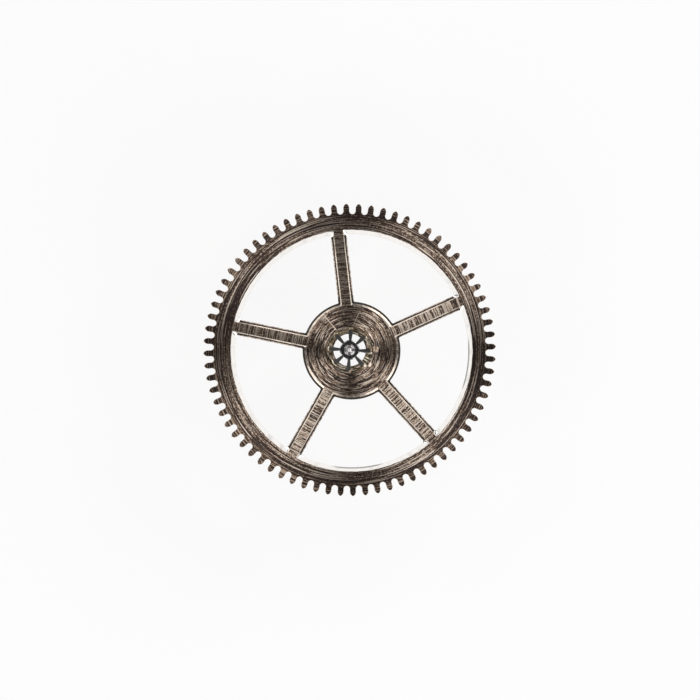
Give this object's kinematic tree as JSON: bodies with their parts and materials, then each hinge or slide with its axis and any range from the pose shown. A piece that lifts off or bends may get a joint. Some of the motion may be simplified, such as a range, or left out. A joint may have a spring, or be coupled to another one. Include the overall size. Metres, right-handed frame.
{
  "type": "watch second wheel",
  "caption": "Thin toothed watch wheel with a bevelled, spoked centre, riveted on to a leaved pinion that has a short upper pivot and a long lower staff.",
  "frame": {"origin": "on the arbor axis at the lower shoulder, where the lower pivot begins", "axes": "+Z along the arbor towards the upper pivot and the riveted face; +X and +Y lie in the plane of the wheel, with the first spoke 24.4 degrees from +X"},
  "size_m": [0.0086, 0.0086, 0.0053],
  "materials": {
    "wheel": "plated, circular grained on the upper face, bright bevels round the windows",
    "pinion": "hardened steel, turned, leaves and pivots polished"
  },
  "bodies": {
    "root": {"wheel": "wheel", "pinion": "pinion"}
  },
  "joints": []
}
